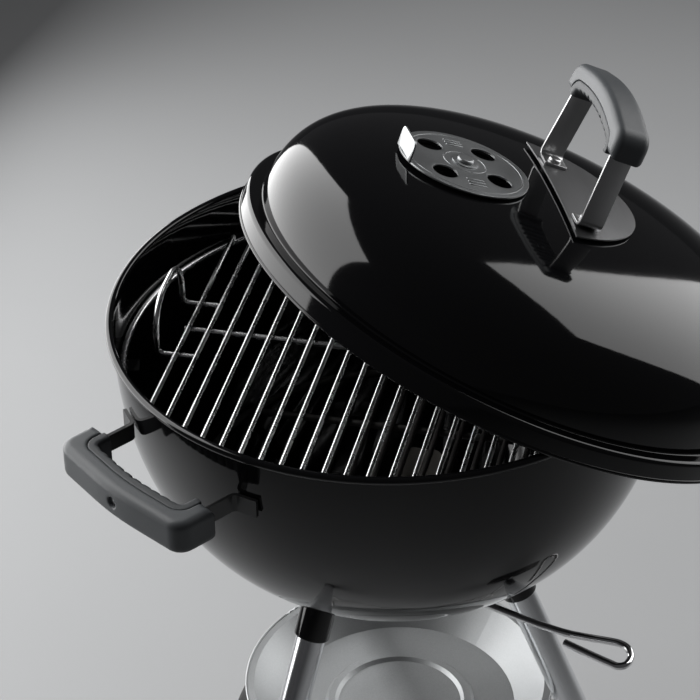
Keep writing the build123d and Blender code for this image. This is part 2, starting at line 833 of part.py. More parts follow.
def damper_skin(lift, thickness):
    """Dished disc about Z: flat curve from the middle to the edge."""
    middle = (0, lift)
    edge = (damper_radius, lift - damper_crown)
    waist = (damper_radius / 2, lift - damper_crown / 4)
    low = ThreePointArc(middle, waist, edge)
    high = Pos(0, thickness) * low
    outer = Line(low @ 1, high @ 1)
    inner = Line(low @ 0, high @ 0)
    return turned(low, outer, high, inner)


def make_damper():
    disc = damper_skin(damper_lift + damper_crown, damper_plate)
    boss_top = damper_lift + damper_crown + damper_plate + boss_height
    disc += Pos(0, 0, damper_lift + damper_crown + damper_plate / 2) * Cylinder(
        boss_radius, boss_top - damper_lift - damper_crown - damper_plate / 2,
        align=upward)
    tab = Pos(0, tab_height / 2) * RectangleRounded(tab_width, 2 * tab_height, tab_round)
    tab_root = (-damper_radius + damper_plate, 0, damper_lift)
    tab_plane = Plane(origin=tab_root, x_dir=(0, 1, 0), z_dir=(1, 0, 0))
    tab = extrude(tab_plane * tab, damper_plate)
    tab -= Pos(0, 0, damper_lift + damper_plate / 4) * Box(
        4 * damper_radius, 4 * damper_radius, 4 * tab_height, align=downward)
    disc += tab
    hole = Pos(damper_hole_circle, 0, 0) * Cylinder(damper_hole, 4 * tab_height)
    for turn in hole_turns:
        disc -= turn * hole
    return damper_frame * (disc - Cylinder(rivet_radius + running_gap, 4 * tab_height))


def make_rivet():
    top = damper_lift + damper_crown + damper_plate + boss_height + seat_gap
    head = Pos(0, 0, top) * Cylinder(rivet_head, rivet_head_height, align=upward)
    head = fillet(head.edges().group_by(Axis.Z)[-1], rivet_round)
    low = -lid_wall - weld_gap - seat_gap
    shank = rod((0, 0, low), (0, 0, top + rivet_head_height / 2), rivet_radius)
    tail = Pos(0, 0, low) * Cylinder(rivet_head, rivet_head_height, align=downward)
    tail = fillet(tail.edges().group_by(Axis.Z)[0], rivet_head_height / 2)
    return damper_frame * (head + shank + tail)


# Lid handle: a steel bail bolted through a base plate that keeps heat off the hand.

bolt_place = bail_half - bail_foot + bolt_head + bail_thickness / 2
bolt_places = (-bolt_place, bolt_place)
plate_top = shield_gap + shield_plate
foot_level = dome_height_at(bail_half - bail_foot, plate_top) + weld_gap + bail_thickness / 2
bail_level = foot_level + bail_rise


def make_bail():
    inner = bail_half - bail_foot
    path = wire_path(
        [
            (0, -inner, foot_level),
            (0, -bail_half, foot_level),
            (0, -bail_top_half, bail_level),
            (0, 0, bail_level + bail_arch),
            (0, bail_top_half, bail_level),
            (0, bail_half, foot_level),
            (0, inner, foot_level),
        ],
        [bail_foot_bend, bail_corner, bail_crown, bail_corner, bail_foot_bend],
    )
    bail = swept(path, Rectangle(bail_width, bail_thickness), (-1, 0, 0))
    for y in bolt_places:
        bail -= Pos(0, y, foot_level) * Cylinder(bolt_radius + slip_gap, 4 * bail_thickness)
    middle = bail_level + bail_arch
    low, high = (0, 0, middle - bail_rise / 2), (0, 0, middle + bail_rise / 2)
    return bail - rod(low, high, screw_radius + slip_gap)


def bail_points(tail):
    """Corners (y, z) of the bail's bowed top with a stretch of each leg."""
    lean = (bail_half - bail_top_half) / bail_rise
    low = bail_level - tail
    out = bail_top_half + tail * lean
    return [(out, low), (bail_top_half, bail_level), (0, bail_level + bail_arch),
            (-bail_top_half, bail_level), (-out, low)]


def lid_grip_path(tail):
    """The bail's middle line under the grip."""
    points = [(0, y, z) for y, z in reversed(bail_points(tail))]
    return wire_path(points, [bail_corner, bail_crown, bail_corner])


def lid_grip_middle():
    """Height of the strap's middle line at the top of its bow."""
    return (lid_grip_path(lid_grip_tail) @ 0.5).Z


def make_lid_grip_outer():
    back = -bail_thickness / 2
    upright = Plane(origin=(0, 0, 0), x_dir=(0, 1, 0), z_dir=(1, 0, 0))
    outside = region(bail_points(lid_grip_tail), lid_grip_shell, grip_corner, bail_crown + lid_grip_shell)
    shell = extrude(upright * outside, grip_height / 2, both=True)
    edges = shell.edges().group_by(Axis.X)
    shell = fillet(edges[0] + edges[-1], grip_round)
    inside = region(bail_points(2 * lid_grip_tail), back, bail_corner + back, bail_crown + back)
    shell -= extrude(upright * inside, grip_height, both=True)
    room = Rectangle(bail_width + 2 * weld_gap, bail_thickness + 2 * weld_gap)
    slot = swept(lid_grip_path(2 * lid_grip_tail), room, (-1, 0, 0))
    middle = lid_grip_middle()
    return shell - slot - rod((0, 0, middle), (0, 0, middle + lid_grip_shell / 2), screw_radius + weld_gap)


def make_lid_grip_inner():
    front = -bail_thickness / 2 - 2 * weld_gap
    section = pad_section(lid_grip_pad, front)
    pad = swept(lid_grip_path(lid_grip_tail), section, (-1, 0, 0))
    middle = lid_grip_middle()
    back = middle - lid_grip_pad
    run = 2 * (bail_top_half - bail_corner)
    fall = bail_arch / bail_top_half
    for place in range(grip_grooves):
        y = run * ((place + 0.5) / grip_grooves - 0.5)
        drop = max(0, abs(y) - bail_crown * fall / 2) * fall
        pad -= Pos(0, y, back - drop) * Box(grip_height, groove_width, 2 * groove_depth)
    hole = rod((0, 0, back - screw_sink), (0, 0, middle), screw_radius + slip_gap)
    sink = rod((0, 0, back - screw_sink), (0, 0, back + screw_head), screw_head + slip_gap)
    return pad - hole - sink


def make_lid_grip_screw():
    middle = lid_grip_middle()
    seat = middle - lid_grip_pad + screw_head
    shank = rod((0, 0, seat - screw_head / 3), (0, 0, middle + lid_grip_shell / 2 - weld_gap), screw_radius)
    head = rod((0, 0, seat - screw_head / 2), (0, 0, seat - weld_gap), screw_head)
    slot = Pos(0, 0, seat - screw_head / 2) * Box(2 * screw_head, screw_head / 4, screw_head / 3)
    return shank + head - slot


def make_shield():
    edge = Line((-shield_edge, -shield_near), (-shield_edge, shield_far))
    middle = (shield_far - shield_near) / 2
    bulge = ThreePointArc((-shield_edge, shield_far), (shield_bulge, middle), (-shield_edge, -shield_near))
    outline = make_face([edge, bulge])
    plate = dome_layer(shield_gap, plate_top) & extrude(outline, 2 * lid_height)
    for y in bolt_places:
        plate -= Pos(0, y, lid_height) * Cylinder(bolt_radius + slip_gap, dome_height / 2)
    return plate


def make_spacer(y):
    ring = Pos(0, y, lid_height) * Cylinder(spacer_radius, dome_height / 2)
    ring = ring & dome_layer(weld_gap, shield_gap - weld_gap)
    return ring - Pos(0, y, lid_height) * Cylinder(bolt_radius + slip_gap, dome_height / 2)


def make_bolt(y):
    seat = foot_level + bail_thickness / 2 + weld_gap
    head = Pos(0, y, seat) * Cylinder(bolt_head, bolt_head_height, align=upward)
    head = fillet(head.edges().group_by(Axis.Z)[-1], bolt_round)
    under = dome_height_at(abs(y) + bolt_head, -lid_wall) - weld_gap
    nut = Pos(0, y, under) * extrude(RegularPolygon(bolt_head, 6), -bolt_nut_height)
    low, high = (0, y, under - bolt_nut_height), (0, y, seat + bolt_head_height / 2)
    return head + nut + rod(low, high, bolt_radius)


def make_hook():
    """Bent strip under the dome that hangs the open lid on the bowl's rim."""
    skin = dome_layer(-lid_wall - weld_gap - hook_plate, -lid_wall - weld_gap)
    pad = skin & (Pos(0, hook_place, lid_height / 2) * Box(hook_width, hook_reach, 2 * lid_height))
    inner = hook_place - hook_reach / 2
    top = dome_height_at(inner + hook_plate, -lid_wall - weld_gap - hook_plate / 2)
    low = top - hook_reach
    stem = inner + hook_plate / 2
    path = wire_path([(0, stem, top), (0, stem, low), (0, inner + hook_reach, low)], [3 * hook_plate])
    return pad + swept(path, Rectangle(hook_width, hook_plate), (-1, 0, 0))


# Where the lid rests: it is lowered until it meets the bowl's rim or the rear grip.

rim_steps, grip_steps, dome_steps = 240, 60, 24
rest_step = 2.0
tilt = math.radians(lid_tilt)
bearing_x = math.cos(math.radians(lid_bearing))
bearing_y = math.sin(math.radians(lid_bearing))
lid_axis = (math.sin(tilt) * bearing_x, math.sin(tilt) * bearing_y, math.cos(tilt))
lid_fall = (math.cos(tilt) * bearing_x, math.cos(tilt) * bearing_y, -math.sin(tilt))
lid_side = (-bearing_y, bearing_x, 0)


def inner_wall(steps):
    """Points of the lid's inner wall as (radius, height), from the lip to the axis."""
    points = [
        (lid_radius - lid_wall, 0),
        (lid_radius - lid_wall, skirt_height - shoulder_round),
        (lid_radius - shoulder_round, skirt_height - lid_wall),
        (dome_radius + dome_root, skirt_height - lid_wall),
        (dome_radius - lid_wall, dome_base),
    ]
    for step in range(1, steps + 1):
        across, along = quarter(dome_radius - lid_wall, dome_height - lid_wall, dome_fullness, step / steps)
        points.append((across, dome_base + along))
    return points


def wall_distance(point, wall):
    """Least distance from a point to the wall's runs and the rolled lip."""
    lip = math.hypot(point[0] - lid_radius + lid_wall / 2, point[1]) - lip_roll
    best = lip
    for (ax, ay), (bx, by) in zip(wall, wall[1:]):
        run = (bx - ax) ** 2 + (by - ay) ** 2
        t = ((point[0] - ax) * (bx - ax) + (point[1] - ay) * (by - ay)) / run
        t = min(1, max(0, t))
        best = min(best, math.hypot(point[0] - ax - t * (bx - ax), point[1] - ay - t * (by - ay)))
    return best


def wall_radius(height, wall):
    """Radius of the hollow at a height above the lip."""
    for (ax, ay), (bx, by) in zip(wall, wall[1:]):
        if ay <= height <= by and by > ay:
            return ax + (bx - ax) * (height - ay) / (by - ay)
    return 0


def grip_outline(offset, steps):
    """Points (x, y) along the rear grip's front and ends, outside the strap by offset."""
    moved = parallel(arch_points(grip_ear), offset)
    corner, crown = grip_corner + offset - grip_shell, strap_crown + offset
    line = handle_turns["rear"] * wire_path(moved, [corner, crown, corner])
    return [(spot.X, spot.Y) for spot in (line @ (step / steps) for step in range(steps + 1))]


def stops():
    """What the lid can come down on: points of the rim and of the rear grip, each with a radius."""
    found = []
    for step in range(rim_steps):
        angle = 2 * math.pi * step / rim_steps
        found.append(((rim_radius * math.cos(angle), rim_radius * math.sin(angle), rim_height), rim_roll))
    rise = grip_height / 2 - grip_round
    for x, y in grip_outline(grip_shell - grip_round, grip_steps):
        for z in (handle_level - rise, handle_level + rise):
            found.append(((x, y, z), grip_round))
    return found


def lid_clearance(height, found, wall):
    """Least gap between the lid and its stops with the lid's middle at a height."""
    middle = (lid_shift * bearing_x, lid_shift * bearing_y, height)
    least = lid_radius
    for place, radius in found:
        away = [p - m for p, m in zip(place, middle)]
        up = sum(p * q for p, q in zip(away, lid_axis))
        fall = sum(p * q for p, q in zip(away, lid_fall))
        aside = sum(p * q for p, q in zip(away, lid_side))
        across = math.hypot(fall, aside)
        gap = wall_distance((across, up), wall)
        if up > 0 and across > wall_radius(up, wall):
            gap = -gap
        least = min(least, gap - radius)
    return least


def lid_rest():
    """Lowest height of the lid's middle at which it clears every stop by the seat's gap."""
    found, wall = stops(), inner_wall(dome_steps)
    high = rim_height
    while lid_clearance(high, found, wall) <= seat_gap:
        high += rest_step
    while lid_clearance(high, found, wall) > seat_gap:
        high -= rest_step
    low, high = high, high + rest_step
    for _ in range(12):
        middle = (low + high) / 2
        if lid_clearance(middle, found, wall) > seat_gap:
            high = middle
        else:
            low = middle
    return high


lid_middle = (lid_shift * bearing_x, lid_shift * bearing_y, lid_rest())
lid_plane = Plane(origin=lid_middle, x_dir=lid_fall, z_dir=lid_axis)
lid_place = lid_plane.location * Rot(0, 0, lid_turn)


# Every piece, under the name of its node.

def on_lid(*solids):
    """The same solids, laid where the lid rests."""
    return [lid_place * solid for solid in solids]


def make_pieces():
    strap, outer, inner, screw = make_strap(), make_grip_outer(), make_grip_inner(), make_grip_screw()
    pieces = {"bowl": [make_bowl()]}
    for name, bearing in leg_bearings.items():
        pieces[name + "_leg_socket"] = [make_socket(bearing)]
    pieces["front_leg"] = [make_leg(leg_bearings["front"], front_end)]
    pieces["left_leg"] = [make_wheel_leg(leg_bearings["left"])]
    pieces["right_leg"] = [make_wheel_leg(leg_bearings["right"])]
    pieces["front_foot"] = [make_foot()]
    pieces["left_leg_plug"] = [make_plug(leg_bearings["left"])]
    pieces["right_leg_plug"] = [make_plug(leg_bearings["right"])]
    pieces["axle"] = [make_axle()]
    pieces["left_wheel"] = [make_wheel(1)]
    pieces["right_wheel"] = [make_wheel(-1)]
    pieces["axle_caps"] = [make_axle_cap(1), make_axle_cap(-1)]
    pieces["lower_rack"] = [make_rack()]
    pieces["ash_pan"] = [make_pan()]
    pieces["pan_clips"] = [make_clip(bearing) for bearing in leg_bearings.values()]
    pieces["sweeper_blades"] = make_blades()
    pieces["sweeper_shaft"] = [make_shaft()]
    pieces["sweeper_pin"] = [make_pin()]
    pieces["sweeper_lever"] = [make_lever()]
    pieces["charcoal_ring"] = [make_ring(coal_radius, coal_wire, coal_level)]
    coal_rods = make_rods(coal_radius, coal_rod, coal_pitch, coal_count, coal_rod_level, 0)
    pieces["charcoal_rods"] = [grate_turn * bar for bar in coal_rods]
    pieces["charcoal_cross_rods"] = make_coal_cross()
    pieces["grate_brackets"] = [
        make_bracket(bracket_bearing + 360 / bracket_count * place) for place in range(bracket_count)
    ]
    pieces["grate_ring"] = [make_ring(grate_radius, grate_wire, ring_level)]
    rods = make_rods(grate_radius, rod_radius, rod_pitch, rod_count, rod_level, rod_overhang)
    pieces["grate_rods"] = [grate_turn * bar for bar in rods]
    pieces["grate_cross_rod"] = [make_cross_rod()]
    pieces["grate_near_loop"] = [make_loop(-1)]
    pieces["grate_far_loop"] = [make_loop(1)]
    for name, turn in handle_turns.items():
        pieces[name + "_handle_strap"] = [turn * strap]
        pieces[name + "_grip_outer"] = [turn * outer]
        pieces[name + "_grip_inner"] = [turn * inner]
    pieces["side_grip_screws"] = [turn * screw for turn in handle_turns.values()]
    pieces["lid_shell"] = on_lid(make_lid())
    pieces["lid_hook"] = on_lid(make_hook())
    pieces["lid_damper"] = on_lid(make_damper())
    pieces["damper_rivet"] = on_lid(make_rivet())
    pieces["lid_heat_shield"] = on_lid(make_shield())
    pieces["lid_spacers"] = on_lid(*[make_spacer(y) for y in bolt_places])
    pieces["lid_handle_strap"] = on_lid(make_bail())
    pieces["lid_bolts"] = on_lid(*[make_bolt(y) for y in bolt_places])
    pieces["lid_grip_outer"] = on_lid(make_lid_grip_outer())
    pieces["lid_grip_inner"] = on_lid(make_lid_grip_inner())
    pieces["lid_grip_screw"] = on_lid(make_lid_grip_screw())
    return pieces


os.makedirs("parts", exist_ok=True)
for name, solids in make_pieces().items():
    bodies = [body for solid in solids for body in solid.solids()]
    export_step(bodies[0] if len(bodies) == 1 else Compound(bodies), os.path.join("parts", name + ".step"))
print("lid middle", [round(v, 3) for v in lid_middle], "lid axis", [round(v, 5) for v in lid_axis])
damper_axis = Axis(lid_place * damper_frame)
print("damper", damper_axis.position, damper_axis.direction)
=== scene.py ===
import math
import bpy
from mathutils import Matrix, Vector


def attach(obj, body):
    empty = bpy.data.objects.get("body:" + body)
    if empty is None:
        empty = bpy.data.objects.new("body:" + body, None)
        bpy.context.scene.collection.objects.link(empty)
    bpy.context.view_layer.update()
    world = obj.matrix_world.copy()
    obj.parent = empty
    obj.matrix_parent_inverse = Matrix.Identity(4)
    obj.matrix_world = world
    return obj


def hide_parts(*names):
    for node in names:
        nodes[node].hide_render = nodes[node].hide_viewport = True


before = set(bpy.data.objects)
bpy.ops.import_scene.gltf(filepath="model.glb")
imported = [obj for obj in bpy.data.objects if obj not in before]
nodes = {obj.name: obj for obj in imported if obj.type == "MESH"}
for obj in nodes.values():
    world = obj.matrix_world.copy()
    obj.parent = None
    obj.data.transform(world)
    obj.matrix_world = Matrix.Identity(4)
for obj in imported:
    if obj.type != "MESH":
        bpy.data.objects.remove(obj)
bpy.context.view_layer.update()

# The studio: a plain pale floor and two tall soft boxes that stand behind the grill, one on
# its left and one on its right, and draw the two long highlights on the dark lid. The camera
# looks down over the front handle.
bpy.context.scene.view_settings.view_transform = "Standard"
camera = bpy.data.objects.new("camera", bpy.data.cameras.new("camera"))
bpy.context.scene.collection.objects.link(camera)
camera.data.sensor_width = 36.0
camera.data.lens = 142.5
camera.data.clip_end = 50.0
camera_right = Vector((0.686804, -0.726531, -0.021304))
camera_up = Vector((0.422417, 0.375123, 0.825134))
camera_back = Vector((-0.591493, -0.575705, 0.564535))
camera.matrix_world = Matrix((camera_right, camera_up, camera_back)).transposed().to_4x4()
camera.location = (-1.34812, -1.262175, 1.974492)
bpy.context.scene.camera = camera


def soft_box(name, place, bearing, width, tall, power):
    """An upright rectangular lamp that faces the grill from a bearing."""
    lamp = bpy.data.objects.new(name, bpy.data.lights.new(name, "AREA"))
    bpy.context.scene.collection.objects.link(lamp)
    lamp.data.shape = "RECTANGLE"
    lamp.data.size = width
    lamp.data.size_y = tall
    lamp.data.energy = power
    lamp.location = place
    inward = Vector((-math.cos(math.radians(bearing)), -math.sin(math.radians(bearing)), 0))
    lamp.rotation_euler = inward.to_track_quat("-Z", "Y").to_euler()


soft_box("left_box", place=(-0.08, 1.26, 1.47), bearing=112, width=2.06, tall=2.58, power=58)
soft_box("right_box", place=(1.83, -0.52, 1.75), bearing=-18, width=1.75, tall=2.5, power=34)

world = bpy.data.worlds.new("studio")
bpy.context.scene.world = world
world.use_nodes = True
world.node_tree.nodes["Background"].inputs["Color"].default_value = (0.5, 0.5, 0.52, 1)
world.node_tree.nodes["Background"].inputs["Strength"].default_value = 0.09

bpy.ops.mesh.primitive_plane_add(size=14)
floor = bpy.context.object
floor.name = "floor"


class Value:
    """A number that varies over a surface; sums on it add Math nodes to its finish."""

    def __init__(self, finish, socket):
        self.finish = finish
        self.socket = socket

    def math(self, operation, other=0.0):
        return self.finish.add("Math", {"operation": operation}, {0: self, 1: other})

    def __add__(self, other):
        return self.math("ADD", other)

    def __mul__(self, other):
        return self.math("MULTIPLY", other)

    def __pow__(self, other):
        return self.math("POWER", other)

    __radd__ = __add__
    __rmul__ = __mul__


class Finish:
    """A material being mixed on the Principled shader."""

    def __init__(self, name, colour, roughness, metallic=0.0):
        self.material = bpy.data.materials.new(name)
        self.material.use_nodes = True
        self.tree = self.material.node_tree
        self.shader = self.tree.nodes["Principled BSDF"]
        self.put("Base Color", (*colour, 1))
        self.put("Roughness", roughness)
        self.put("Metallic", metallic)
        self.material.diffuse_color = (*colour, 1)

    def link(self, socket, value):
        if isinstance(value, Value):
            self.tree.links.new(value.socket, socket)
        else:
            socket.default_value = value

    def put(self, name, value):
        self.link(self.shader.inputs[name], value)

    def add(self, kind, settings, sockets, out=0):
        """Any node: its type, its settings, the values or links of its sockets."""
        node = self.tree.nodes.new("ShaderNode" + kind)
        for key, value in settings.items():
            setattr(node, key, value)
        for key, value in sockets.items():
            self.link(node.inputs[key], value)
        return Value(self, node.outputs[out])

    def place(self, middle=(0, 0, 0), turn=(0, 0, 0)):
        """Object coordinates in metres, from a middle and along turned axes."""
        spot = self.add("TexCoord", {}, {}, "Object")
        inputs = {"Vector": spot, "Location": middle, "Rotation": turn}
        return self.add("Mapping", {"vector_type": "TEXTURE"}, inputs)

    def part(self, place, axis):
        """One of the three numbers of a place."""
        return self.add("SeparateXYZ", {}, {0: place}, axis)

    def noise(self, scale, detail=3.0, place=None, stretch=(1, 1, 1)):
        """Irregular grain, from 0 to 1; a small stretch makes it long along that axis."""
        spot = self.add("Mapping", {}, {"Vector": place or self.place(), "Scale": stretch})
        return self.add("TexNoise", {}, {"Vector": spot, "Scale": scale, "Detail": detail}, "Fac")

    def lines(self, value, scale, detail=4.0):
        """Irregular lines where a value grows, from 0 to 1."""
        inputs = {"W": value, "Scale": scale, "Detail": detail}
        return self.add("TexNoise", {"noise_dimensions": "1D"}, inputs, "Fac")

    def mix(self, amount, low, high):
        """Colour between two, by an amount from 0 to 1."""
        return self.add("Mix", {"data_type": "RGBA"}, {0: amount, 6: (*low, 1), 7: (*high, 1)}, 2)

    def bump(self, height, depth):
        """Relief on the surface, depth in metres."""
        self.put("Normal", self.add("Bump", {}, {"Height": height, "Distance": depth, "Strength": 1.0}))

    def dress(self, *names):
        """Gives CAD nodes this finish."""
        for name in names:
            self.cover(nodes[name])

    def cover(self, piece):
        """Gives one piece this finish."""
        piece.data.materials.clear()
        piece.data.materials.append(self.material)


floor_paper = Finish("floor_paper", (0.42, 0.425, 0.43), 0.75)
floor_cloud = floor_paper.noise(3.0, 4.0)
floor_paper.put("Base Color", floor_paper.mix(floor_cloud, (0.41, 0.415, 0.42), (0.43, 0.435, 0.44)))
floor_paper.cover(floor)

# The bowl, pressed from sheet steel with a rolled rim, dipped and fired in black porcelain
# enamel: glass-smooth, with the faint long ripple that the glaze keeps. The leg sockets and
# the grate brackets are welded on before it is fired, so they carry the same glaze.
enamel = Finish("black_enamel", (0.0035, 0.0035, 0.004), 0.05)
enamel_ripple = enamel.noise(110.0, 1.0)
enamel_haze = enamel.noise(9.0, 3.0)
enamel.put("IOR", 1.46)
enamel.put("Roughness", 0.035 + 0.05 * enamel_haze)
enamel.bump(enamel_ripple, 0.000018)
enamel.dress("grate_brackets")


def turned(degrees, axis):
    """A turn about one axis."""
    return Matrix.Rotation(math.radians(degrees), 4, axis)


def choose(piece):
    """Selects one piece alone."""
    bpy.ops.object.select_all(action="DESELECT")
    piece.select_set(True)
    bpy.context.view_layer.objects.active = piece


def settle(piece):
    """Leaves a piece where it stands, with its origin at the frame's."""
    choose(piece)
    bpy.ops.object.transform_apply(location=True, rotation=True, scale=True)


def lathe(name, outline):
    """A piece turned about Z, modelled from a drawn outline of (radius, height) in millimetres."""
    bpy.ops.object.select_all(action="DESELECT")
    bpy.ops.mesh.primitive_plane_add(size=0.01)
    piece = bpy.context.object
    piece.name = name
    bpy.ops.object.mode_set(mode="EDIT")
    bpy.ops.mesh.merge(type="CENTER")
    bpy.ops.transform.translate(value=(outline[0][0] / 1000, 0, outline[0][1] / 1000))
    for (reach, height), (next_reach, next_height) in zip(outline, outline[1:]):
        step = ((next_reach - reach) / 1000, 0, (next_height - height) / 1000)
        bpy.ops.mesh.extrude_vertices_move(TRANSFORM_OT_translate={"value": step})
    bpy.ops.mesh.select_all(action="SELECT")
    bpy.ops.mesh.spin(steps=256, angle=2 * math.pi, center=(0, 0, 0), axis=(0, 0, 1))
    bpy.ops.mesh.select_all(action="SELECT")
    bpy.ops.mesh.remove_doubles(threshold=0.00002)
    bpy.ops.mesh.normals_make_consistent(inside=False)
    bpy.ops.object.mode_set(mode="OBJECT")
    return piece


def pressed_curve(radius, depth, fullness, start, end, steps):
    """Points along the quarter curve of a pressing, 0 at its side and 1 on its axis."""
    found = []
    for step in range(steps + 1):
        t = start + (end - start) * step / steps
        u = 1 - t
        across = radius * (u ** 3 + 3 * u * u * t + 3 * u * t * t * fullness)
        found.append((across, depth * (3 * u * u * t * fullness + 3 * u * t * t + t ** 3)))
    return found


def round_run(middle, start, end, first_radius, last_radius, steps):
    """Points round a middle from one angle to another."""
    found = []
    for step in range(steps + 1):
        share = step / steps
        angle = math.radians(start + (end - start) * share)
        radius = first_radius + (last_radius - first_radius) * share
        found.append((middle[0] + radius * math.cos(angle), middle[1] + radius * math.sin(angle)))
    return found


def cut(piece, cutter):
    """Takes one piece's shape out of another and deletes the cutter."""
    knife = piece.modifiers.new("cut", "BOOLEAN")
    knife.operation = "DIFFERENCE"
    knife.solver = "EXACT"
    knife.object = cutter
    bpy.context.view_layer.objects.active = piece
    bpy.ops.object.modifier_apply(modifier="cut")
    bpy.data.objects.remove(cutter)


def smooth(piece):
    """Smooth shading that keeps real edges."""
    choose(piece)
    bpy.ops.object.shade_smooth_by_angle(angle=math.radians(32))


def stand_for(piece, node, body, finish):
    """Puts a modelled piece in place of a CAD node."""
    finish.cover(piece)
    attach(piece, body)
    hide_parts(node)


bowl_shoulder = 743.0
bowl_radius = 225.4
bowl_depth = 240.0
bowl_fullness = 0.629
bowl_wall = 1.4
shaft_hole = 0.988
rim_middle = (227.7, 750.0)
rim_radius = 3.0
bowl_outside = pressed_curve(bowl_radius, bowl_depth, bowl_fullness, shaft_hole, 0.0, 64)
bowl_inside = pressed_curve(bowl_radius - bowl_wall, bowl_depth - bowl_wall, bowl_fullness,
                            0.0, shaft_hole, 64)
bowl_line = [(across, bowl_shoulder - along) for across, along in bowl_outside]
bowl_line += round_run(rim_middle, 220, 450, rim_radius, rim_radius, 22)
bowl_line += round_run(rim_middle, 450, 540, rim_radius, 3.7, 8)[1:]
bowl_line += [(across, bowl_shoulder - along) for across, along in bowl_inside]
bowl = lathe("bowl_pressing", bowl_line + bowl_line[:1])
vent_half = 0.013
vent_place = Matrix.Translation((0.072, 0, 0.503))
for vent_bearing in (0, 120, 240):
    bpy.ops.object.select_all(action="DESELECT")
    bpy.ops.mesh.primitive_cylinder_add(vertices=48, radius=vent_half, depth=0.08)
    vent = bpy.context.object
    for end in (1, -1):
        bpy.ops.object.mode_set(mode="EDIT")
        bpy.ops.mesh.select_all(action="DESELECT")
        bpy.ops.object.mode_set(mode="OBJECT")
        for vertex in vent.data.vertices:
            vertex.select = vertex.co.x * end > 0.0001
        bpy.ops.object.mode_set(mode="EDIT")
        bpy.ops.transform.translate(value=(vent_half * end, 0, 0))
        bpy.ops.object.mode_set(mode="OBJECT")
    vent.matrix_world = turned(vent_bearing, "Z") @ vent_place
    cut(bowl, vent)
smooth(bowl)
stand_for(bowl, "bowl", "stand", enamel)

# Three leg sockets: short lengths of steel tube, cut to the bowl's curve and welded under it,
# with a rounded lower edge and the dimple that pins the leg. They are fired in the same enamel.
leg_splay = 22.2
leg_bearings = {"front": 180, "left": 60, "right": -60}
socket_edge = 1.6
socket_top = -14.0
socket_end = 44.0
socket_inner = 12.9
socket_outer = 15.1
socket_line = round_run((socket_outer - socket_edge, socket_end - socket_edge), 0, 90,
                        socket_edge, socket_edge, 6)
socket_line += [(socket_inner, socket_end), (socket_inner, socket_top), (socket_outer, socket_top)]
socket = lathe("socket_tube", socket_line + socket_line[:1])
socket.matrix_world = Matrix.Translation((0.0895, 0, 0.5172265)) @ turned(180 - leg_splay, "Y")
weld_gap = 0.1
core_radius = bowl_radius + weld_gap
core_top = 760.0
core_curve = pressed_curve(core_radius, bowl_depth + weld_gap, bowl_fullness, 1.0, 0.0, 64)
core_line = [(across, bowl_shoulder - along) for across, along in core_curve]
bowl_core = lathe("bowl_core", core_line + [(core_radius, core_top), (0.0, core_top)])
cut(socket, bowl_core)
bpy.ops.object.select_all(action="DESELECT")
bpy.ops.mesh.primitive_ico_sphere_add(subdivisions=4, radius=0.0022)
dimple = bpy.context.object
dimple.matrix_world = socket.matrix_world @ Matrix.Translation((0, -0.0154, 0.024))
cut(socket, dimple)
for leg_side, leg_bearing in leg_bearings.items():
    cuff = socket.copy()
    cuff.data = socket.data.copy()
    cuff.name = leg_side + "_socket_tube"
    bpy.context.scene.collection.objects.link(cuff)
    cuff.matrix_world = turned(leg_bearing, "Z") @ socket.matrix_world
    settle(cuff)
    smooth(cuff)
    stand_for(cuff, leg_side + "_leg_socket", "stand", enamel)
bpy.data.objects.remove(socket)

# Three legs of drawn aluminium tube, pushed up into the sockets. The die leaves fine straight
# lines along each tube.
for leg_side, leg_bearing in leg_bearings.items():
    leg_name = leg_side + "_leg"
    leg_turn = (0, -math.radians(leg_splay), math.radians(leg_bearing))
    tube = Finish(leg_name + "_aluminium", (0.8, 0.81, 0.82), 0.2, 1.0)
    along_leg = tube.place((0, 0, 0), leg_turn)
    drawn_lines = tube.noise(700.0, 3.0, along_leg, (1, 1, 0.006))
    handled = tube.noise(14.0, 4.0)
    tube.put("Roughness", 0.11 + 0.12 * drawn_lines + 0.06 * handled)
    tube.put("Base Color", tube.mix(drawn_lines, (0.7, 0.71, 0.73), (0.86, 0.87, 0.88)))
    tube.bump(drawn_lines, 0.00001)
    tube.dress(leg_name)

# The foot on the front leg and the plugs in the ends of the two wheel legs: black moulded
# plastic, pushed on, with the fine grain of the mould.
black_plastic = Finish("black_plastic", (0.016, 0.016, 0.017), 0.5)
mould_grain = black_plastic.noise(1500.0, 2.0)
scuffs = black_plastic.noise(40.0, 6.0)
black_plastic.put("Roughness", 0.4 + 0.2 * scuffs)
scuffed = black_plastic.mix(scuffs, (0.012, 0.012, 0.013), (0.022, 0.022, 0.023))
black_plastic.put("Base Color", scuffed)
black_plastic.bump(mould_grain, 0.00005)
black_plastic.dress("front_foot", "left_leg_plug", "right_leg_plug")

# The axle: a plain plated steel rod through both wheel legs, with a grey cap pushed on each
# end to hold the wheels. The small pin and screws are plated like it.
axle_zinc = Finish("axle_zinc", (0.62, 0.63, 0.64), 0.3, 1.0)
axle_cloud = axle_zinc.noise(60.0, 5.0)
axle_zinc.put("Roughness", 0.2 + 0.2 * axle_cloud)
axle_zinc.dress("axle", "sweeper_pin", "side_grip_screws", "lid_grip_screw")
cap_grey = Finish("cap_grey", (0.12, 0.125, 0.13), 0.4)
cap_grain = cap_grey.noise(1200.0, 2.0)
cap_grey.bump(cap_grain, 0.00004)
cap_grey.dress("axle_caps")

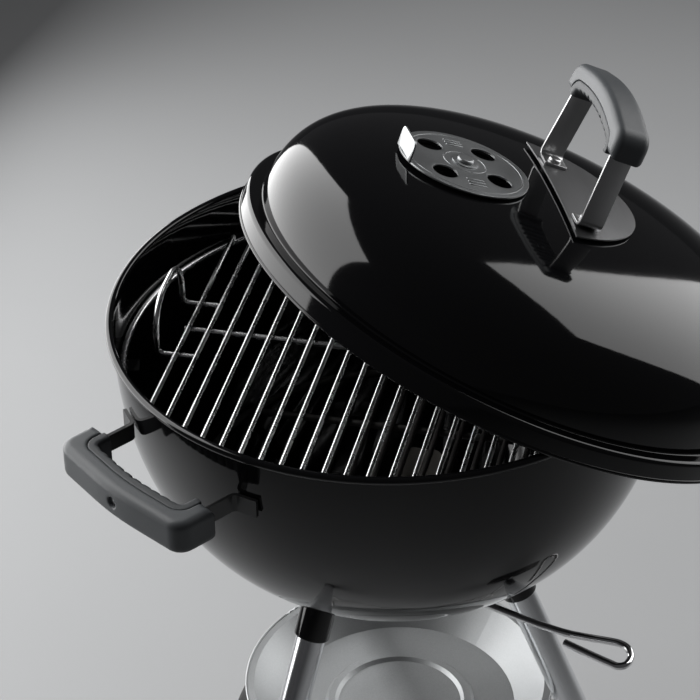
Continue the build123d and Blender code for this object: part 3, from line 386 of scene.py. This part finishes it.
# Two moulded wheels that turn on the axle: a hub and eight ribs inside a tread ring, whose
# rolling face has shallow cross bars.
axle_place = (0.134781, 0, 0.076)
tread_start = 0.0735
tread_bars = 60.0
wheel_plastic = Finish("wheel_plastic", (0.018, 0.018, 0.019), 0.5)
wheel_place = wheel_plastic.place(axle_place)
wheel_x = wheel_plastic.part(wheel_place, "X")
wheel_z = wheel_plastic.part(wheel_place, "Z")
wheel_reach = (wheel_x * wheel_x + wheel_z * wheel_z) ** 0.5
wheel_angle = wheel_z.math("ARCTAN2", wheel_x)
tread_bar = (wheel_angle * tread_bars).math("SINE").math("GREATER_THAN", 0.2)
on_tread = wheel_reach.math("GREATER_THAN", tread_start)
tread_dust = wheel_plastic.noise(90.0, 5.0)
wheel_plastic.put("Roughness", 0.42 + 0.22 * tread_dust)
dusty = wheel_plastic.mix(tread_dust * on_tread, (0.015, 0.015, 0.016), (0.05, 0.049, 0.047))
wheel_plastic.put("Base Color", dusty)
wheel_plastic.bump(tread_bar * on_tread + wheel_plastic.noise(1300.0, 2.0) * 0.08, 0.0006)
wheel_plastic.dress("left_wheel", "right_wheel")

# The lower rack: a wire frame between the legs with five bars welded across it, dull plated.
# The clips that carry the ash pan are the same wire.
dull_wire = Finish("dull_plated_wire", (0.55, 0.55, 0.54), 0.3, 1.0)
wire_cloud = dull_wire.noise(50.0, 5.0)
dull_wire.put("Roughness", 0.24 + 0.2 * wire_cloud)
dull_wire.put("Base Color", dull_wire.mix(wire_cloud, (0.46, 0.46, 0.455), (0.64, 0.64, 0.63)))
dull_wire.bump(dull_wire.noise(900.0, 2.0), 0.00001)
dull_wire.dress("lower_rack", "pan_clips")

# The ash pan: a dish pressed from aluminium sheet, with a raised ring in its floor and a
# turned rim. The sheet is satin with a fine even grain, and the press leaves faint rings about
# its middle. It hangs on the three clips.
satin = Finish("satin_aluminium", (0.5, 0.51, 0.52), 0.4, 1.0)
pan_place = satin.place()
pan_x = satin.part(pan_place, "X")
pan_y = satin.part(pan_place, "Y")
pan_reach = (pan_x * pan_x + pan_y * pan_y) ** 0.5
press_rings = satin.lines(pan_reach, 420.0)
sheet_grain = satin.noise(1100.0, 3.0)
pan_cloud = satin.noise(16.0, 5.0)
satin.put("Roughness", 0.38 + 0.14 * pan_cloud + 0.08 * sheet_grain)
pan_tone = sheet_grain * 0.6 + pan_cloud * 0.4
satin.put("Base Color", satin.mix(pan_tone, (0.3, 0.31, 0.315), (0.56, 0.57, 0.575)))
satin.bump(sheet_grain * 0.5 + press_rings * 0.5, 0.00002)
satin.dress("ash_pan")

# The ash sweeper: three thin steel blades welded to a hub and shaft that turns in the bowl's
# floor. Inside the kettle the steel is dulled and browned by heat.
sweeper_steel = Finish("sweeper_steel", (0.2, 0.19, 0.18), 0.5, 0.9)
heat_cloud = sweeper_steel.noise(22.0, 6.0)
browned = sweeper_steel.mix(heat_cloud, (0.1, 0.095, 0.09), (0.26, 0.24, 0.22))
sweeper_steel.put("Base Color", browned)
sweeper_steel.put("Roughness", 0.38 + 0.3 * heat_cloud)
sweeper_steel.dress("sweeper_blades", "sweeper_shaft")

# The sweeper's lever: chromed wire, pinned through the shaft, cranked a little and bent back
# on itself into a finger loop. The wire runs smoothly through the points of its path, which
# are in millimetres along the lever and across it.
lever_chrome = Finish("lever_chrome", (0.82, 0.82, 0.83), 0.1, 1.0)
lever_wear = lever_chrome.noise(60.0, 5.0)
lever_chrome.put("Roughness", 0.06 + 0.1 * lever_wear)
lever_radius = 0.00315
lever_level = 0.483
lever_bearing = -79.5
lever_bends = [(5.1, 0), (60, 0), (130, 0), (146, 0.8), (164, 2.6), (181, 6.8), (196.8, 11.5),
               (207.3, 13.8), (216.1, 11.6), (222.8, 3.6), (224, -6.6), (219.6, -12),
               (212, -12.2), (191, -10.8), (168, -8.9)]


def flowing(bends, steps):
    """Points in metres on a smooth curve through bends in millimetres, some steps between two."""
    found = []
    last = len(bends) - 1
    for number in range(last):
        before = bends[max(number - 1, 0)]
        start = bends[number]
        end = bends[number + 1]
        after = bends[min(number + 2, last)]
        for step in range(steps):
            t = step / steps
            spot = []
            for a, b, c, d in zip(before, start, end, after):
                bend = (2 * a - 5 * b + 4 * c - d) * t * t + (3 * b - a - 3 * c + d) * t ** 3
                spot.append((2 * b + (c - a) * t + bend) / 2000)
            found.append(spot)
    found.append([bends[last][0] / 1000, bends[last][1] / 1000])
    return found


lever_path = flowing(lever_bends, 8)
lever_curve = bpy.data.curves.new("lever_wire", "CURVE")
lever_curve.dimensions = "3D"
lever_curve.bevel_depth = lever_radius
lever_curve.bevel_resolution = 6
lever_curve.use_fill_caps = True
lever_run = lever_curve.splines.new("POLY")
lever_run.points.add(len(lever_path) - 1)
for point, (along, across) in zip(lever_run.points, lever_path):
    point.co = (along, across, lever_level, 1)
lever = bpy.data.objects.new("lever_wire", lever_curve)
bpy.context.scene.collection.objects.link(lever)
lever.rotation_euler = (0, 0, math.radians(lever_bearing))
choose(lever)
bpy.ops.object.convert(target="MESH")
lever = bpy.context.object
settle(lever)
smooth(lever)
stand_for(lever, "sweeper_lever", "sweeper", lever_chrome)

# The charcoal grate: a heavier ring of mild steel wire that sits low in the bowl, with rods
# welded on top and two cross rods below. Bare steel, dark with scale.
grate_steel = Finish("scaled_steel", (0.1, 0.1, 0.1), 0.55, 0.8)
scale_cloud = grate_steel.noise(45.0, 6.0)
scaled = grate_steel.mix(scale_cloud, (0.045, 0.043, 0.042), (0.13, 0.125, 0.12))
grate_steel.put("Base Color", scaled)
grate_steel.put("Roughness", 0.42 + 0.3 * scale_cloud)
grate_steel.bump(grate_steel.noise(500.0, 4.0), 0.00008)
grate_steel.dress("charcoal_ring", "charcoal_rods", "charcoal_cross_rods")

# The cooking grate: a ring, 21 rods and a cross rod of steel wire, spot welded where they
# cross and bright plated, with a wire loop at each side to lift it by.
bright_wire = Finish("bright_plated_wire", (0.8, 0.8, 0.8), 0.16, 1.0)
plate_cloud = bright_wire.noise(45.0, 5.0)
bright_wire.put("Roughness", 0.2 + 0.14 * plate_cloud)
bright_wire.put("Base Color", bright_wire.mix(plate_cloud, (0.8, 0.8, 0.81), (0.93, 0.93, 0.93)))
bright_wire.bump(bright_wire.noise(800.0, 2.0), 0.000008)
bright_wire.dress("grate_ring", "grate_rods", "grate_cross_rod", "grate_near_loop", "grate_far_loop")

# Two side handles. Each has a bowed strap of flat steel, black and satin, its feet welded to
# the bowl.
strap_black = Finish("strap_black", (0.012, 0.012, 0.0125), 0.3)
strap_wear = strap_black.noise(70.0, 6.0)
strap_black.put("Roughness", 0.22 + 0.16 * strap_wear)
strap_black.put("Coat Weight", 0.3)
strap_black.bump(strap_black.noise(600.0, 3.0), 0.00002)
strap_black.dress("front_handle_strap", "rear_handle_strap")

# The grips: an outer shell and a ribbed inner pad of grey glass-filled nylon, clamped over
# the strap by a screw in a sunk hole. The mould has a fine spark-eroded grain.
grip_nylon = Finish("grip_nylon", (0.085, 0.092, 0.098), 0.42)
grip_grain = grip_nylon.noise(1400.0, 3.0)
grip_flow = grip_nylon.noise(18.0, 4.0)
grip_nylon.put("Base Color", grip_nylon.mix(grip_flow, (0.078, 0.085, 0.09), (0.094, 0.1, 0.106)))
grip_nylon.put("Roughness", 0.36 + 0.12 * grip_flow)
grip_nylon.bump(grip_grain, 0.00006)
pad_nylon = Finish("pad_nylon", (0.05, 0.054, 0.058), 0.5)
pad_grain = pad_nylon.noise(1400.0, 3.0)
pad_nylon.put("Roughness", 0.44 + 0.1 * pad_nylon.noise(20.0, 4.0))
pad_nylon.bump(pad_grain, 0.00006)


def worked_copy(name, node):
    """A selected copy of a CAD node, its faces joined up so that modifiers see one skin."""
    piece = bpy.data.objects.new(name, nodes[node].data.copy())
    bpy.context.scene.collection.objects.link(piece)
    choose(piece)
    bpy.ops.object.mode_set(mode="EDIT")
    bpy.ops.mesh.select_all(action="SELECT")
    bpy.ops.mesh.remove_doubles(threshold=0.00001)
    bpy.ops.object.mode_set(mode="OBJECT")
    return piece


def moulding(name, node, body, finish):
    """A moulded copy of a CAD node: its edges are softened as a mould leaves them."""
    piece = worked_copy(name, node)
    skin = piece.modifiers.new("skin", "REMESH")
    skin.mode = "VOXEL"
    skin.voxel_size = 0.0006
    bpy.ops.object.modifier_apply(modifier="skin")
    soften = piece.modifiers.new("soften", "SMOOTH")
    soften.factor = 0.5
    soften.iterations = 24
    bpy.ops.object.modifier_apply(modifier="soften")
    bpy.ops.object.shade_smooth()
    stand_for(piece, node, body, finish)


for handle in ("front", "rear"):
    moulding(handle + "_grip_shell", handle + "_grip_outer", "stand", grip_nylon)
    moulding(handle + "_grip_pad", handle + "_grip_inner", "stand", pad_nylon)

# The lid: a pressed dome with a stepped skirt and a rolled lip, in the same black enamel as
# the bowl. Under it a steel hook, welded on, hangs it on the rim.
lid_turn = turned(-28.3, "Z") @ turned(26.1, "Y") @ turned(-9.5, "Z")
lid_middle = (0.086803, -0.046738, 0.726287)
lid_frame = Matrix.Translation(lid_middle) @ lid_turn
damper_seat = Matrix.Translation((-0.091, 0, 0.1063426))
damper_frame = lid_frame @ damper_seat @ turned(-5.4649, "Y") @ turned(4.5, "Z")
dome_base = 20.0
dome_radius = 224.2
dome_height = 90.0
dome_fullness = 0.72
lid_wall = 1.4
root_middle = (225.6, 18.4)
root_inside = (227.2, 20.0)
shoulder_middle = (232.2, 13.0)
lip_middle = (235.5, 0.0)
lip_radius = 1.7
dome_outside = pressed_curve(dome_radius, dome_height, dome_fullness, 1.0, 0.0, 72)
dome_inside = pressed_curve(dome_radius - lid_wall, dome_height - lid_wall, dome_fullness, 0.0, 1.0, 72)
lid_line = [(across, dome_base + along) for across, along in dome_outside]
lid_line += round_run(root_middle, 180, 270, 1.4, 1.4, 6)
lid_line += round_run(shoulder_middle, 90, 0, 4.0, 4.0, 10)
lid_line += round_run(lip_middle, 66, -246, lip_radius, lip_radius, 26)
lid_line += round_run(shoulder_middle, 0, 90, 2.6, 2.6, 8)
lid_line += round_run(root_inside, 270, 180, 4.4, 4.4, 8)
lid_line += [(across, dome_base + along) for across, along in dome_inside][1:]
lid = lathe("lid_pressing", lid_line)
lid.matrix_world = lid_frame
settle(lid)
hole_place = Matrix.Translation((0.033, 0, 0))
for hole_bearing in (45, 135, 225, 315):
    bpy.ops.object.select_all(action="DESELECT")
    bpy.ops.mesh.primitive_cylinder_add(vertices=64, radius=0.0105, depth=0.05)
    hole = bpy.context.object
    hole.matrix_world = damper_frame @ turned(hole_bearing, "Z") @ hole_place
    cut(lid, hole)
smooth(lid)
stand_for(lid, "lid_shell", "lid", enamel)
hook_steel = Finish("hook_steel", (0.4, 0.4, 0.4), 0.35, 1.0)
hook_steel.put("Roughness", 0.28 + 0.2 * hook_steel.noise(60.0, 5.0))
hook_steel.dress("lid_hook")

# The damper: a dished aluminium disc with four holes and an upright finger tab, stamped with
# two raised rings and six short ribs and left matt. A rivet holds it to the lid, so that it
# turns over the lid's own holes.
damper_aluminium = Finish("damper_aluminium", (0.5, 0.51, 0.52), 0.4, 1.0)
tumble = damper_aluminium.noise(1100.0, 4.0)
damper_cloud = damper_aluminium.noise(30.0, 5.0)
damper_aluminium.put("Roughness", 0.34 + 0.12 * damper_cloud)
tumbled = damper_aluminium.mix(tumble, (0.3, 0.31, 0.315), (0.5, 0.51, 0.515))
damper_aluminium.put("Base Color", tumbled)
damper_aluminium.bump(tumble, 0.00006)
damper_aluminium.dress("damper_rivet")


def eased(name, node, body, width, finish):
    """A copy of a CAD node whose sharp edges are broken by a small bevel, so that they catch light."""
    piece = worked_copy(name, node)
    edges = piece.modifiers.new("edges", "BEVEL")
    edges.width = width
    edges.segments = 2
    edges.limit_method = "ANGLE"
    edges.angle_limit = math.radians(40)
    bpy.ops.object.modifier_apply(modifier="edges")
    smooth(piece)
    stand_for(piece, node, body, finish)


eased("damper_disc", "lid_damper", "damper", 0.00035, damper_aluminium)


def damper_top(x, y):
    """Height of the disc's upper face in the damper's own frame, in millimetres."""
    start = damper_frame @ Vector((x / 1000, y / 1000, 0.02))
    down = damper_frame.to_3x3() @ Vector((0, 0, -1))
    spot = bpy.data.objects["damper_disc"].ray_cast(start, down)[1]
    return (damper_frame.inverted() @ spot).z * 1000


bead_section = [(-0.9, -0.25), (-0.6, 0.25), (0, 0.42), (0.6, 0.25), (0.9, -0.25)]
rib_size = (15.0, 1.9, 1.2)
relief = []
for bead_reach in (17.5, 48.8):
    level = damper_top(bead_reach, 0)
    bead_line = [(bead_reach + out, level + rise) for out, rise in bead_section]
    relief.append(lathe("damper_bead", bead_line + bead_line[:1]))
for rib_place in (-39, -34.5, -30, 30, 34.5, 39):
    bpy.ops.object.select_all(action="DESELECT")
    bpy.ops.mesh.primitive_cube_add(size=0.001)
    rib = bpy.context.object
    bpy.ops.object.mode_set(mode="EDIT")
    bpy.ops.transform.resize(value=rib_size)
    bpy.ops.mesh.bevel(offset=0.0005, segments=3, affect="EDGES")
    bpy.ops.transform.translate(value=(0, rib_place / 1000, damper_top(0, rib_place) / 1000))
    bpy.ops.object.mode_set(mode="OBJECT")
    relief.append(rib)
bpy.ops.object.select_all(action="DESELECT")
for part in relief:
    part.select_set(True)
bpy.context.view_layer.objects.active = relief[0]
bpy.ops.object.join()
stamping = bpy.context.object
stamping.name = "damper_relief"
stamping.matrix_world = damper_frame
settle(stamping)
smooth(stamping)
damper_aluminium.cover(stamping)
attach(stamping, "damper")

# The heat shield: a plate of brushed steel between the lid and its handle, on two spacers. The
# brushing runs across the lid.
shield_steel = Finish("shield_steel", (0.3, 0.3, 0.31), 0.3, 1.0)
shield_place = shield_steel.place(lid_middle, lid_turn.to_euler())
shield_brush = shield_steel.noise(900.0, 3.0, shield_place, (1, 0.01, 1))
shield_steel.put("Roughness", 0.3 + 0.1 * shield_brush)
brushed = shield_steel.mix(shield_brush, (0.25, 0.25, 0.255), (0.33, 0.33, 0.335))
shield_steel.put("Base Color", brushed)
shield_steel.bump(shield_brush, 0.00001)
shield_steel.dress("lid_heat_shield", "lid_spacers")

# The lid handle's strap: a bowed bail of brushed steel, its feet bolted through the shield
# and the lid with round-headed bolts.
bail_steel = Finish("bail_steel", (0.6, 0.6, 0.6), 0.22, 1.0)
bail_place = bail_steel.place(lid_middle, lid_turn.to_euler())
bail_brush = bail_steel.noise(1100.0, 3.0, bail_place, (1, 0.012, 0.012))
bail_steel.put("Roughness", 0.3 + 0.1 * bail_brush)
bail_steel.put("Base Color", bail_steel.mix(bail_brush, (0.52, 0.52, 0.525), (0.6, 0.6, 0.6)))
bail_steel.bump(bail_brush, 0.00001)
bail_steel.dress("lid_bolts")
eased("bail_strap", "lid_handle_strap", "lid", 0.0006, bail_steel)

# The lid's grip: the same two-part nylon grip as on the sides, its shell and pad screwed
# together over the bail from below.
moulding("lid_grip_shell", "lid_grip_outer", "lid", grip_nylon)
moulding("lid_grip_pad", "lid_grip_inner", "lid", pad_nylon)
